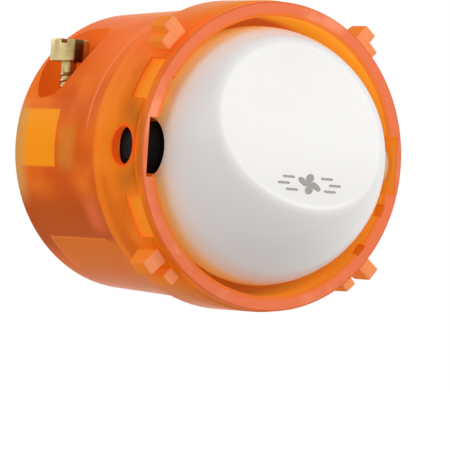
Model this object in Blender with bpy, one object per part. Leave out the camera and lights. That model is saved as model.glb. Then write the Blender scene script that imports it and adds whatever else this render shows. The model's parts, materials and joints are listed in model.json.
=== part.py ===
"""Round modular rocker switch: a translucent moulded can with a domed white dolly in its mouth.

World frame, metres: the front faces -Y, the body runs back along +Y, Z is up and the rocker
turns about a line along X. The origin is the centre of the rim's front face.
"""
import math

import bmesh
import bpy
from mathutils import Matrix, Vector

MM = 0.001

# Moulded body
RIM_RADIUS = 12.0 * MM
RIM_DEPTH = 0.9 * MM
RIM_WALL = 1.15 * MM
RIM_EDGE = 0.15 * MM
GROOVE_DEPTH = 0.3 * MM
GROOVE_WIDTH = 0.3 * MM
COLLAR_PROUD = 0.1 * MM
COLLAR_END = 6.6 * MM
STEP_LENGTH = 1.6 * MM
STEP_HEIGHT = 0.6 * MM
BODY_TAPER = 0.5 * MM
BODY_LENGTH = 20.7 * MM
BORE_PAST_COLLAR = 0.6 * MM
BODY_WALL = 0.9 * MM
REAR_EDGE = 0.25 * MM
BORE_RADIUS = RIM_RADIUS - RIM_WALL
BORE_DEPTH = COLLAR_END + BORE_PAST_COLLAR
COLLAR_RADIUS = RIM_RADIUS + COLLAR_PROUD
BODY_RADIUS = COLLAR_RADIUS - STEP_HEIGHT
BODY_REAR_RADIUS = BODY_RADIUS - BODY_TAPER
STEP_END = COLLAR_END + STEP_LENGTH
GROOVE_END = RIM_DEPTH + GROOVE_WIDTH
PANEL_START = RIM_DEPTH + GROOVE_WIDTH / 2

# Snap lugs behind the rim: a tall prong and a short one at each of four places
PRONG_SETBACK = 0.1 * MM
PRONG_DEPTH = 2.1 * MM
PRONG_SLOPE = 0.9 * MM
PRONG_EDGE = 0.15 * MM
PRONG_ROOT = 0.6 * MM
TALL_HEIGHT = 1.7 * MM
TALL_WIDTH = 1.2 * MM
TALL_ANGLES = [math.radians(angle) for angle in (49.3, 134.7, -137.4, -38.6)]
SHORT_HEIGHT = 1.0 * MM
SHORT_WIDTH = 1.05 * MM
SHORT_ANGLES = [math.radians(angle) for angle in (44.4, 139.2, -128.9, -48.2)]

# Shallow panels sunk into the collar between each lug and the pivots
PANEL_LENGTH = 1.7 * MM
PANEL_SINK = 0.35 * MM
PANEL_ANGLE_NEAR = math.radians(18)
PANEL_ANGLE_FAR = math.radians(35)

# Small turning notches in the mouth
NOTCH_SIZE = 0.32 * MM
NOTCH_LENGTH = 1.05 * MM
NOTCH_DEPTH = 0.8 * MM
NOTCH_ANGLES = [math.radians(angle) for angle in (153, -38, -19)]

# Rocker
PIVOT_DEPTH = 2.6 * MM
ROCK_ANGLE = math.radians(10)
DOME_CLEARANCE = 0.75 * MM
DOLLY_WALL = 1.2 * MM
DOLLY_SKIRT = 1.0 * MM
FACET_CUT = 2.8 * MM
FACET_TILT = math.radians(10.4)
FACET_RIDGE = math.radians(1.6)
CHEEK_RADIUS = 2.0 * MM
CHEEK_SINK = 0.35 * MM
PIN_RADIUS = 1.0 * MM
PIN_LENGTH = 0.4 * MM
BAR_RADIUS = 1.8 * MM
BAR_CLEARANCE = 0.5 * MM
STEM_RADIUS = 2.0 * MM
STEM_END = 6.6 * MM
HOLE_BACK = 0.2 * MM
SLOT_PAST_CHEEK = 0.6 * MM
DOME_RADIUS = BORE_RADIUS - DOME_CLEARANCE
FACET_REACH = DOME_RADIUS - FACET_CUT
CHEEK_OUTER = BORE_RADIUS + CHEEK_SINK
PIN_TIP = CHEEK_OUTER + PIN_LENGTH
BAR_END = DOME_RADIUS - DOLLY_WALL - BAR_CLEARANCE
PIVOT_HOLE_CENTRE = PIVOT_DEPTH + HOLE_BACK
MOUTH_SLOT_DEPTH = PIVOT_DEPTH + CHEEK_RADIUS + SLOT_PAST_CHEEK

# Plunger and its spring inside the stem
PLUNGER_RADIUS = 0.95 * MM
PLUNGER_REACH = 8.2 * MM
PLUNGER_LENGTH = 3.3 * MM
SPRING_ROOM = 2.4 * MM
SPRING_RADIUS = 0.75 * MM
SPRING_WIRE = 0.14 * MM
SPRING_TURNS = 4
PLUNGER_TAIL = PLUNGER_REACH - PLUNGER_LENGTH
BORE_START = PLUNGER_TAIL - SPRING_ROOM

# Contacts
BLADE_ANGLE = math.radians(6)
BLADE_THICKNESS = 0.6 * MM
BLADE_HALF_WIDTH = 1.6 * MM
BLADE_PAST_TIP = 0.9 * MM
PLUNGER_CLEARANCE = 0.33 * MM
TIP_RADIUS = 0.85 * MM
TIP_THICKNESS = 0.5 * MM
TIP_HEIGHT = 4.5 * MM
STRIP_THICKNESS = 0.5 * MM
STRIP_LOW = 1.3 * MM
STRIP_PAST_TIP = 1.1 * MM
KNIFE_HALF = 0.4 * MM
LEG_FROM_REAR = 2.9 * MM
CRADLE_WING_LENGTH = 2.8 * MM

# Terminals and their screws
TERMINAL_INSET = 2.8 * MM
TERMINAL_HALF_WIDTH = 1.25 * MM
TERMINAL_LOW = 0.5 * MM
TERMINAL_HEIGHT = 2.2 * MM
TERMINAL_FROM_REAR = 4.2 * MM
WIRE_HOLE_RADIUS = 0.75 * MM
WIRE_HOLE_RISE = 1.05 * MM
SCREW_FROM_REAR = 2.8 * MM
SCREW_LIFT = 3.05 * MM
SCREW_HEAD_RADIUS = 1.53 * MM
SCREW_HEAD_HEIGHT = 1.8 * MM
SCREW_SHANK_RADIUS = 0.7 * MM
SCREW_SHANK_LENGTH = 4.15 * MM
SCREW_TRAVEL = 1.2 * MM
SCREW_SLOT_WIDTH = 0.5 * MM
SCREW_SLOT_DEPTH = 0.35 * MM
SCREW_SLOT_TURN = math.radians(40)
SCREW_EDGE = 0.2 * MM

# Screw pockets moulded into the body: an oblong well over each terminal
POCKET_SKIN = 0.5 * MM
POCKET_ABOVE_TERMINAL = 0.35 * MM
POCKET_RADIUS = 2.3 * MM
POCKET_STRETCH = 1.5 * MM
POCKET_RECESS = 0.1 * MM
RELIEF_DEPTH = 2.7 * MM

# Rear base
BASE_THICKNESS = 0.9 * MM
TOWER_HALF_WIDTH = 2.4 * MM
TOWER_LOW = 1.0 * MM
TOWER_SHORTFALL = 0.1 * MM
ENTRY_RADIUS = 0.9 * MM

# Shared clearances
GAP = 0.3 * MM
SCREW_CLEARANCE = 0.6 * MM
OVERRUN = 2.0 * MM
MERGE_DISTANCE = 0.001 * MM

ROUND = 96
SMALL_ROUND = 32
DOME_ROUND = 72
HOLLOW_ROUND = 48
NOSE_STEPS = 8
COIL_STEPS = 14
FINE_ANGLE = math.radians(35)

BASE_FRONT = BODY_LENGTH - BASE_THICKNESS
PLUNGER_TIP_Y = PIVOT_DEPTH + PLUNGER_REACH * math.cos(ROCK_ANGLE)
PLUNGER_TIP_Z = PLUNGER_REACH * math.sin(ROCK_ANGLE)
BLADE_HALF_LENGTH = TIP_HEIGHT + BLADE_PAST_TIP
BLADE_Y = (PLUNGER_TIP_Y + PLUNGER_CLEARANCE - PLUNGER_TIP_Z * math.tan(BLADE_ANGLE)
           + BLADE_THICKNESS / 2 / math.cos(BLADE_ANGLE))
CLOSED_TIP_Y = (BLADE_Y + TIP_HEIGHT * math.sin(BLADE_ANGLE)
                + (BLADE_THICKNESS / 2 + GAP + TIP_THICKNESS) * math.cos(BLADE_ANGLE))
FIXED_TIP_Y = CLOSED_TIP_Y + GAP
STRIP_Y = FIXED_TIP_Y + TIP_THICKNESS + GAP
STRIP_HIGH = TIP_HEIGHT + STRIP_PAST_TIP
TOWER_FRONT = STRIP_Y + STRIP_THICKNESS + GAP
TOWER_HIGH = STRIP_HIGH - TOWER_SHORTFALL
LEG_END = BODY_LENGTH - LEG_FROM_REAR
TERMINAL_X = BODY_REAR_RADIUS - TERMINAL_INSET
TERMINAL_INNER = TERMINAL_X - TERMINAL_HALF_WIDTH
TERMINAL_FRONT = BODY_LENGTH - TERMINAL_FROM_REAR
TERMINAL_HIGH = TERMINAL_LOW + TERMINAL_HEIGHT
WIRE_HOLE_HEIGHT = TERMINAL_LOW + WIRE_HOLE_RISE
LEG_OUTER = TERMINAL_INNER - GAP
SCREW_DEPTH = BODY_LENGTH - SCREW_FROM_REAR
POCKET_FLOOR = TERMINAL_HIGH + POCKET_ABOVE_TERMINAL + POCKET_SKIN
POCKET_INNER = TERMINAL_X - POCKET_RADIUS
RELIEF_LOW = TERMINAL_LOW - RELIEF_DEPTH
SCREW_HEAD_LOW = POCKET_FLOOR + SCREW_LIFT
SCREW_HEAD_HIGH = SCREW_HEAD_LOW + SCREW_HEAD_HEIGHT
SCREW_TIP = SCREW_HEAD_LOW - SCREW_SHANK_LENGTH
THREAD_FLOOR = SCREW_TIP - SCREW_TRAVEL - GAP


def clearScene():
    for item in list(bpy.data.objects):
        bpy.data.objects.remove(item, do_unlink=True)


def makeMaterial(name, colour, roughness, metallic=0.0, transmission=0.0):
    material = bpy.data.materials.new(name)
    material.use_nodes = True
    shader = material.node_tree.nodes["Principled BSDF"]
    shader.inputs["Base Color"].default_value = (*colour, 1.0)
    shader.inputs["Roughness"].default_value = roughness
    shader.inputs["Metallic"].default_value = metallic
    shader.inputs["Transmission Weight"].default_value = transmission
    return material


def makeObject(name, mesh, material=None, parent=None):
    item = bpy.data.objects.new(name, mesh)
    bpy.context.scene.collection.objects.link(item)
    if material is not None:
        mesh.materials.append(material)
    if parent is not None:
        item.parent = parent
    return item


def meshFrom(name, bm):
    bmesh.ops.recalc_face_normals(bm, faces=bm.faces)
    mesh = bpy.data.meshes.new(name)
    bm.to_mesh(mesh)
    bm.free()
    return mesh


def boxMesh(name, low, high):
    """Box between two corners."""
    bm = bmesh.new()
    size = Vector(high) - Vector(low)
    centre = (Vector(high) + Vector(low)) / 2
    placed = Matrix.Translation(centre) @ Matrix.Diagonal((*size, 1.0))
    bmesh.ops.create_cube(bm, size=1.0, matrix=placed)
    return meshFrom(name, bm)


def rodMesh(name, start, end, radius, endRadius=None, segments=SMALL_ROUND):
    """Round bar or cone between two points."""
    bm = bmesh.new()
    line = Vector(end) - Vector(start)
    turn = Vector((0.0, 0.0, 1.0)).rotation_difference(line).to_matrix().to_4x4()
    placed = Matrix.Translation((Vector(start) + Vector(end)) / 2) @ turn
    last = radius if endRadius is None else endRadius
    bmesh.ops.create_cone(bm, cap_ends=True, segments=segments, radius1=radius, radius2=last,
                          depth=line.length, matrix=placed)
    return meshFrom(name, bm)


def revolveMesh(name, profile, segments=ROUND):
    """Closed outline of (depth, radius) points turned about the Y axis."""
    bm = bmesh.new()
    corners = [bm.verts.new((radius, depth, 0.0)) for depth, radius in profile]
    edges = [bm.edges.new((corners[i], corners[(i + 1) % len(corners)])) for i in range(len(corners))]
    bmesh.ops.spin(bm, geom=corners + edges, cent=(0.0, 0.0, 0.0), axis=(0.0, 1.0, 0.0),
                   angle=math.tau, steps=segments, use_merge=True, use_duplicate=False)
    bmesh.ops.remove_doubles(bm, verts=bm.verts, dist=MERGE_DISTANCE)
    return meshFrom(name, bm)


def prismMesh(name, outline, low, high, upright):
    """Outline of (across, out) points between two depths, turned so that out points to upright."""
    bm = bmesh.new()
    out = Vector((math.cos(upright), 0.0, math.sin(upright)))
    across = Vector((-math.sin(upright), 0.0, math.cos(upright)))
    ring = [bm.verts.new(across * a + out * r + Vector((0.0, low, 0.0))) for a, r in outline]
    face = bm.faces.new(ring)
    grown = bmesh.ops.extrude_face_region(bm, geom=[face])
    moved = [part for part in grown["geom"] if isinstance(part, bmesh.types.BMVert)]
    bmesh.ops.translate(bm, verts=moved, vec=(0.0, high - low, 0.0))
    return meshFrom(name, bm)


def cutSphereMesh(name, radius, reach, segments, skirt):
    """Ball about the origin, cut by the two planes of the facet and open-cut behind."""
    bm = bmesh.new()
    turn = Matrix.Rotation(math.radians(90), 4, "X")
    bmesh.ops.create_uvsphere(bm, u_segments=segments, v_segments=segments // 2, radius=radius, matrix=turn)
    ridge = facetNormal(FACET_TILT) * reach
    cuts = [(ridge, facetNormal(FACET_TILT + FACET_RIDGE)), (ridge, facetNormal(FACET_TILT - FACET_RIDGE))]
    cuts.append((Vector((0.0, skirt, 0.0)), Vector((0.0, 1.0, 0.0))))
    for point, normal in cuts:
        parts = bm.verts[:] + bm.edges[:] + bm.faces[:]
        found = bmesh.ops.bisect_plane(bm, geom=parts, dist=MERGE_DISTANCE, plane_co=point, plane_no=normal,
                                       clear_outer=True)
        rim = [part for part in found["geom_cut"] if isinstance(part, bmesh.types.BMEdge)]
        bmesh.ops.contextual_create(bm, geom=rim)
    return meshFrom(name, bm)


def facetNormal(tilt):
    return Vector((0.0, -math.cos(tilt), math.sin(tilt)))


def cutter(name, mesh, parent=None):
    item = makeObject(name, mesh, parent=parent)
    item.hide_render = True
    item.display_type = "WIRE"
    return item


def combine(item, other, operation="DIFFERENCE"):
    change = item.modifiers.new(other.name, "BOOLEAN")
    change.operation = operation
    change.object = other
    change.solver = "EXACT"


def smooth(item):
    item.data.shade_smooth()
    item.data.set_sharp_from_angle(angle=FINE_ANGLE)


def mirrored(low, high, sideX, sideZ):
    """Corners of a box given in the upper right quarter, moved to another quarter."""
    xs = sorted((low[0] * sideX, high[0] * sideX))
    zs = sorted((low[2] * sideZ, high[2] * sideZ))
    return (xs[0], low[1], zs[0]), (xs[1], high[1], zs[1])


def bodyRadius(depth):
    share = (depth - STEP_END) / (BODY_LENGTH - STEP_END)
    return BODY_RADIUS + (BODY_REAR_RADIUS - BODY_RADIUS) * share


def housingProfile():
    outer = [
        (RIM_EDGE, RIM_RADIUS),
        (RIM_DEPTH, RIM_RADIUS),
        (RIM_DEPTH, RIM_RADIUS - GROOVE_DEPTH),
        (GROOVE_END, RIM_RADIUS - GROOVE_DEPTH),
        (GROOVE_END, COLLAR_RADIUS),
        (COLLAR_END, COLLAR_RADIUS),
        (STEP_END, BODY_RADIUS),
        (BODY_LENGTH - REAR_EDGE, bodyRadius(BODY_LENGTH - REAR_EDGE)),
        (BODY_LENGTH, BODY_REAR_RADIUS - REAR_EDGE),
    ]
    inner = [
        (BODY_LENGTH, BODY_REAR_RADIUS - BODY_WALL),
        (BORE_DEPTH + BODY_WALL, BODY_RADIUS - BODY_WALL),
        (BORE_DEPTH, BORE_RADIUS),
        (RIM_EDGE, BORE_RADIUS),
        (0.0, BORE_RADIUS + RIM_EDGE),
        (0.0, RIM_RADIUS - RIM_EDGE),
    ]
    return outer + inner


def prongMesh(name, width, height, angle):
    """One prong: chamfered corners at its top and a back that slopes down to the collar."""
    half = width / 2
    root = COLLAR_RADIUS - PRONG_ROOT
    reach = COLLAR_RADIUS + height
    outline = [
        (-half, root),
        (-half, reach - PRONG_EDGE),
        (PRONG_EDGE - half, reach),
        (half - PRONG_EDGE, reach),
        (half, reach - PRONG_EDGE),
        (half, root),
    ]
    front = RIM_DEPTH + PRONG_SETBACK
    back = front + PRONG_DEPTH + PRONG_SLOPE
    mesh = prismMesh(name, outline, front, back, angle)
    across = Vector((-math.sin(angle), 0.0, math.cos(angle)))
    for vert in mesh.vertices:
        flat = vert.co - across * across.dot(vert.co)
        out = math.hypot(flat.x, flat.z)
        if vert.co.y > front + PRONG_DEPTH:
            vert.co.y -= PRONG_SLOPE * (out - COLLAR_RADIUS) / height
    return mesh


def addLugs(housing):
    prongs = [
        ("tall", TALL_WIDTH, TALL_HEIGHT, TALL_ANGLES),
        ("short", SHORT_WIDTH, SHORT_HEIGHT, SHORT_ANGLES),
    ]
    for label, width, height, angles in prongs:
        for index, angle in enumerate(angles):
            name = f"{label}_prong_{index}"
            combine(housing, cutter(name, prongMesh(name, width, height, angle)), "UNION")


def cutPanels(housing):
    for side in range(4):
        flip = 1 if side % 2 == 0 else -1
        half = math.pi if side >= 2 else 0.0
        angles = [half + flip * PANEL_ANGLE_NEAR, half + flip * PANEL_ANGLE_FAR]
        middle = sum(angles) / 2
        spread = abs(angles[1] - angles[0]) / 2
        inside = COLLAR_RADIUS - PANEL_SINK
        reach = COLLAR_RADIUS + OVERRUN
        outline = [
            (-inside * math.sin(spread), inside * math.cos(spread)),
            (0.0, inside),
            (inside * math.sin(spread), inside * math.cos(spread)),
            (inside * math.sin(spread), reach),
            (-inside * math.sin(spread), reach),
        ]
        mesh = prismMesh(f"panel_{side}", outline, PANEL_START, GROOVE_END + PANEL_LENGTH, middle)
        combine(housing, cutter(f"panel_cut_{side}", mesh))


def cutNotches(housing):
    for index, angle in enumerate(NOTCH_ANGLES):
        low = BORE_RADIUS - OVERRUN
        high = BORE_RADIUS + NOTCH_SIZE
        half = NOTCH_LENGTH / 2
        outline = [(-half, low), (half, low), (half, high), (-half, high)]
        mesh = prismMesh(f"notch_{index}", outline, -OVERRUN, NOTCH_DEPTH, angle)
        combine(housing, cutter(f"notch_cut_{index}", mesh))


def cutPivotSeats(housing):
    """Slot in the mouth for each cheek, and the round hole through the collar for its pin."""
    half = CHEEK_RADIUS + GAP
    floor = CHEEK_OUTER + GAP
    for side in (-1, 1):
        low, high = mirrored((BORE_RADIUS - OVERRUN, -OVERRUN, -half),
                             (floor, MOUTH_SLOT_DEPTH, half), side, 1)
        combine(housing, cutter(f"mouth_slot_{side + 1}", boxMesh("mouth_slot", low, high)))
        start = (side * (BORE_RADIUS - OVERRUN), PIVOT_HOLE_CENTRE, 0.0)
        stop = (side * (COLLAR_RADIUS + OVERRUN), PIVOT_HOLE_CENTRE, 0.0)
        mesh = rodMesh("pivot_hole", start, stop, PIN_RADIUS + HOLE_BACK + GAP)
        combine(housing, cutter(f"pivot_hole_{side + 1}", mesh))


def pocketOutline(radius, square):
    """Oblong about the screw in plan, or the same with a square end past the body's rear."""
    turns = [math.pi * index / SMALL_ROUND for index in range(SMALL_ROUND + 1)]
    front = SCREW_DEPTH - POCKET_STRETCH
    outline = [(TERMINAL_X - radius * math.cos(turn), front - radius * math.sin(turn)) for turn in turns]
    if square:
        rear = BODY_LENGTH + OVERRUN
        return outline + [(TERMINAL_X + radius, rear), (TERMINAL_X - radius, rear)]
    return outline + [(TERMINAL_X + radius * math.cos(turn), SCREW_DEPTH + radius * math.sin(turn))
                      for turn in turns]


def uprightMesh(name, outline, low, high, sideX, sideZ):
    """Outline in plan drawn upwards between two heights, moved to its quarter."""
    bm = bmesh.new()
    ring = [bm.verts.new((sideX * x, y, sideZ * low)) for x, y in outline]
    grown = bmesh.ops.extrude_face_region(bm, geom=[bm.faces.new(ring)])
    moved = [part for part in grown["geom"] if isinstance(part, bmesh.types.BMVert)]
    bmesh.ops.translate(bm, verts=moved, vec=(0.0, 0.0, sideZ * (high - low)))
    return meshFrom(name, bm)


def addPocket(housing, name, sideX, sideZ):
    """Walled pocket that lets a driver reach a terminal screw from outside."""
    under = POCKET_FLOOR - POCKET_SKIN
    outline = pocketOutline(POCKET_RADIUS + POCKET_SKIN, True)
    mesh = uprightMesh("pocket_walls", outline, under, BODY_RADIUS, sideX, sideZ)
    walls = cutter(f"{name}_walls", mesh)
    inside = BODY_REAR_RADIUS - BODY_WALL / 2
    limit = rodMesh("limit", (0.0, 0.0, 0.0), (0.0, BODY_LENGTH - POCKET_RECESS, 0.0), inside, segments=ROUND)
    combine(walls, cutter(f"{name}_limit", limit), "INTERSECT")
    combine(housing, walls, "UNION")
    outline = pocketOutline(POCKET_RADIUS, False)
    mesh = uprightMesh("pocket", outline, POCKET_FLOOR, BODY_RADIUS + OVERRUN, sideX, sideZ)
    combine(housing, cutter(f"{name}_cut", mesh))
    low, high = mirrored((TERMINAL_INNER - GAP, TERMINAL_FRONT - GAP, RELIEF_LOW),
                         (TERMINAL_X + TERMINAL_HALF_WIDTH + GAP, BODY_LENGTH + OVERRUN, TERMINAL_HIGH + GAP),
                         sideX, sideZ)
    combine(housing, cutter(f"{name}_relief", boxMesh("relief", low, high)))
    start = (sideX * TERMINAL_X, SCREW_DEPTH, sideZ * (under - GAP))
    stop = (sideX * TERMINAL_X, SCREW_DEPTH, sideZ * (POCKET_FLOOR + GAP))
    mesh = rodMesh("pocket_hole", start, stop, SCREW_SHANK_RADIUS + SCREW_CLEARANCE)
    combine(housing, cutter(f"{name}_hole", mesh))


def buildHousing(material, quarters):
    housing = makeObject("housing", revolveMesh("housing", housingProfile()), material)
    addLugs(housing)
    cutPanels(housing)
    cutNotches(housing)
    cutPivotSeats(housing)
    for name, sideX, sideZ in quarters:
        addPocket(housing, f"pocket_{name}", sideX, sideZ)
    smooth(housing)
    return housing


def buildBase(material, quarters):
    """Disc that closes the body, with a wire entry per terminal and two contact towers."""
    radius = BODY_REAR_RADIUS - BODY_WALL - GAP
    mesh = rodMesh("rear_base", (0.0, BASE_FRONT, 0.0), (0.0, BODY_LENGTH, 0.0), radius, segments=ROUND)
    base = makeObject("rear_base", mesh, material)
    for side in (-1, 1):
        low, high = mirrored((-TOWER_HALF_WIDTH, TOWER_FRONT, TOWER_LOW),
                             (TOWER_HALF_WIDTH, BASE_FRONT + BASE_THICKNESS / 2, TOWER_HIGH), 1, side)
        combine(base, cutter(f"tower_{side + 1}", boxMesh("tower", low, high)), "UNION")
    for name, sideX, sideZ in quarters:
        start = (sideX * TERMINAL_X, BASE_FRONT - OVERRUN, sideZ * WIRE_HOLE_HEIGHT)
        stop = (sideX * TERMINAL_X, BODY_LENGTH + OVERRUN, sideZ * WIRE_HOLE_HEIGHT)
        combine(base, cutter(f"entry_{name}", rodMesh("entry", start, stop, ENTRY_RADIUS)))
        inner = POCKET_INNER - POCKET_SKIN - GAP
        floor = POCKET_FLOOR - POCKET_SKIN - GAP
        low, high = mirrored((inner, BASE_FRONT - OVERRUN, floor),
                             (BODY_RADIUS, BODY_LENGTH + OVERRUN, BODY_RADIUS), sideX, sideZ)
        combine(base, cutter(f"corner_{name}", boxMesh("corner", low, high)))
    smooth(base)
    return base


def pivotEmpty():
    """Rocker axis; the rocker rests with its top pushed in."""
    pivot = bpy.data.objects.new("rocker_axis", None)
    bpy.context.scene.collection.objects.link(pivot)
    pivot.location = (0.0, PIVOT_DEPTH, 0.0)
    pivot.rotation_euler = (-ROCK_ANGLE, 0.0, 0.0)
    return pivot


def buildDolly(material, pivot):
    outside = cutSphereMesh("dolly", DOME_RADIUS, FACET_REACH, DOME_ROUND, DOLLY_SKIRT)
    dolly = makeObject("dolly", outside, material, pivot)
    inner = DOME_RADIUS - DOLLY_WALL
    hollow = cutSphereMesh("dolly_hollow", inner, FACET_REACH - DOLLY_WALL, HOLLOW_ROUND,
                           DOLLY_SKIRT + OVERRUN)
    combine(dolly, cutter("dolly_hollow", hollow, pivot))
    arch = CHEEK_RADIUS + GAP
    for side in (-1, 1):
        start = (side * (inner - OVERRUN), 0.0, 0.0)
        stop = (side * (DOME_RADIUS + OVERRUN), 0.0, 0.0)
        combine(dolly, cutter(f"arch_{side + 1}", rodMesh("arch", start, stop, arch), pivot))
        low, high = mirrored((inner - OVERRUN, 0.0, -arch),
                             (DOME_RADIUS + OVERRUN, DOLLY_SKIRT + OVERRUN, arch), side, 1)
        combine(dolly, cutter(f"arch_slot_{side + 1}", boxMesh("arch_slot", low, high), pivot))
    smooth(dolly)
    return dolly


def buildCarrier(material, pivot):
    """Black cross bar with cheeks and pins, a rear stem and a front pad that the dolly snaps on."""
    mesh = rodMesh("rocker_carrier", (-BAR_END, 0.0, 0.0), (BAR_END, 0.0, 0.0), BAR_RADIUS)
    carrier = makeObject("rocker_carrier", mesh, material, pivot)
    for side in (-1, 1):
        sunk = BAR_END - BAR_RADIUS / 2
        cheek = rodMesh("cheek", (side * sunk, 0.0, 0.0), (side * CHEEK_OUTER, 0.0, 0.0), CHEEK_RADIUS)
        combine(carrier, cutter(f"cheek_{side + 1}", cheek, pivot), "UNION")
        start = (side * (CHEEK_OUTER - PIN_RADIUS), 0.0, 0.0)
        pin = rodMesh("pin", start, (side * PIN_TIP, 0.0, 0.0), PIN_RADIUS)
        combine(carrier, cutter(f"pin_{side + 1}", pin, pivot), "UNION")
    stem = rodMesh("stem", (0.0, 0.0, 0.0), (0.0, STEM_END, 0.0), STEM_RADIUS + GAP, STEM_RADIUS)
    combine(carrier, cutter("stem", stem, pivot), "UNION")
    padFront = -(FACET_REACH - DOLLY_WALL - GAP) * math.cos(FACET_TILT) + STEM_RADIUS / 2
    pad = boxMesh("pad", (-STEM_RADIUS, padFront, -STEM_RADIUS), (STEM_RADIUS, 0.0, STEM_RADIUS))
    combine(carrier, cutter("pad", pad, pivot), "UNION")
    bore = rodMesh("stem_bore", (0.0, BORE_START, 0.0), (0.0, STEM_END + OVERRUN, 0.0), PLUNGER_RADIUS + GAP)
    combine(carrier, cutter("stem_bore", bore, pivot))
    smooth(carrier)
    return carrier


def buildPlunger(material, pivot):
    """Round-nosed pin, turned from a profile of quarter-circle nose and straight shank."""
    nose = PLUNGER_REACH - PLUNGER_RADIUS
    angles = [math.pi / 2 * index / NOSE_STEPS for index in range(NOSE_STEPS)]
    arc = [(nose + PLUNGER_RADIUS * math.sin(angle), PLUNGER_RADIUS * math.cos(angle)) for angle in angles]
    bm = bmesh.new()
    rows = [(PLUNGER_TAIL, PLUNGER_RADIUS)] + arc
    rings = []
    for depth, radius in rows:
        ring = []
        for index in range(SMALL_ROUND):
            angle = math.tau * index / SMALL_ROUND
            ring.append(bm.verts.new((radius * math.cos(angle), depth, radius * math.sin(angle))))
        rings.append(ring)
    for first, second in zip(rings, rings[1:]):
        for index in range(SMALL_ROUND):
            after = (index + 1) % SMALL_ROUND
            bm.faces.new((first[index], first[after], second[after], second[index]))
    bm.faces.new(rings[0])
    point = bm.verts.new((0.0, PLUNGER_REACH, 0.0))
    for index in range(SMALL_ROUND):
        bm.faces.new((rings[-1][index], rings[-1][(index + 1) % SMALL_ROUND], point))
    plunger = makeObject("plunger", meshFrom("plunger", bm), material, pivot)
    smooth(plunger)
    return plunger


def buildSpring(material, pivot):
    """Open coil between the bottom of the bore and the plunger's tail."""
    curve = bpy.data.curves.new("plunger_spring", "CURVE")
    curve.dimensions = "3D"
    curve.bevel_depth = SPRING_WIRE
    curve.bevel_resolution = 1
    curve.use_fill_caps = True
    steps = COIL_STEPS * SPRING_TURNS
    line = curve.splines.new("POLY")
    line.points.add(steps)
    low = BORE_START + GAP + SPRING_WIRE
    high = PLUNGER_TAIL - GAP - SPRING_WIRE
    for index in range(steps + 1):
        share = index / steps
        angle = math.tau * SPRING_TURNS * share
        depth = low + (high - low) * share
        line.points[index].co = (SPRING_RADIUS * math.cos(angle), depth, SPRING_RADIUS * math.sin(angle), 1.0)
    curve.materials.append(material)
    spring = bpy.data.objects.new("plunger_spring", curve)
    bpy.context.scene.collection.objects.link(spring)
    spring.parent = pivot
    return spring


def bladeEmpty():
    axis = bpy.data.objects.new("blade_axis", None)
    bpy.context.scene.collection.objects.link(axis)
    axis.location = (0.0, BLADE_Y, 0.0)
    axis.rotation_euler = (BLADE_ANGLE, 0.0, 0.0)
    return axis


def buildBlade(brass, silver, axis):
    """See-saw contact blade with a round silver tip at each end."""
    half = BLADE_THICKNESS / 2
    mesh = boxMesh("contact_blade", (-BLADE_HALF_WIDTH, -half, -BLADE_HALF_LENGTH),
                   (BLADE_HALF_WIDTH, half, BLADE_HALF_LENGTH))
    blade = makeObject("contact_blade", mesh, brass, axis)
    corner = blade.modifiers.new("corners", "BEVEL")
    corner.width = half / 2
    corner.segments = 2
    for side, label in ((-1, "lower"), (1, "upper")):
        low = half + GAP
        height = side * TIP_HEIGHT
        tip = rodMesh("moving_tip", (0.0, low, height), (0.0, low + TIP_THICKNESS, height), TIP_RADIUS)
        smooth(makeObject(f"moving_tip_{label}", tip, silver, axis))


def joinedBoxes(name, boxes, material):
    """Bent strip made of overlapping flats that a union joins."""
    first, rest = boxes[0], boxes[1:]
    item = makeObject(name, boxMesh(name, *first), material)
    for index, (low, high) in enumerate(rest):
        combine(item, cutter(f"{name}_flat_{index}", boxMesh("flat", low, high)), "UNION")
    return item


def buildFixedContact(brass, silver, label, sideX, sideZ):
    thick = STRIP_THICKNESS
    back = STRIP_Y + thick
    top = TERMINAL_HIGH - GAP
    half = BLADE_HALF_WIDTH
    pad = mirrored((-half, STRIP_Y, STRIP_LOW), (half, back, STRIP_HIGH), sideX, sideZ)
    arm = mirrored((half - thick, STRIP_Y, STRIP_LOW), (LEG_OUTER, back, top), sideX, sideZ)
    leg = mirrored((LEG_OUTER - thick, STRIP_Y, STRIP_LOW), (LEG_OUTER, LEG_END, top), sideX, sideZ)
    joinedBoxes(f"contact_strip_{label}", [pad, arm, leg], brass)
    height = sideZ * TIP_HEIGHT
    start = (0.0, FIXED_TIP_Y, height)
    tip = rodMesh("fixed_tip", start, (0.0, FIXED_TIP_Y + TIP_THICKNESS, height), TIP_RADIUS)
    smooth(makeObject(f"fixed_tip_{label}", tip, silver))


def buildCradle(brass):
    """Common strip: a knife edge that the blade rocks on, running back and out to its terminal."""
    thick = STRIP_THICKNESS
    knifeFront = BLADE_Y + BLADE_THICKNESS / 2 + GAP
    wingFront = LEG_END - CRADLE_WING_LENGTH
    side = LEG_OUTER - thick
    tongue = ((-BLADE_HALF_WIDTH, knifeFront, -KNIFE_HALF), (BLADE_HALF_WIDTH, LEG_END, KNIFE_HALF))
    wing = ((BLADE_HALF_WIDTH - thick, wingFront, -KNIFE_HALF), (LEG_OUTER, LEG_END, KNIFE_HALF))
    tab = ((side, wingFront, -KNIFE_HALF), (LEG_OUTER, LEG_END, TERMINAL_HIGH - GAP))
    return joinedBoxes("common_cradle", [tongue, wing, tab], brass)


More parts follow.
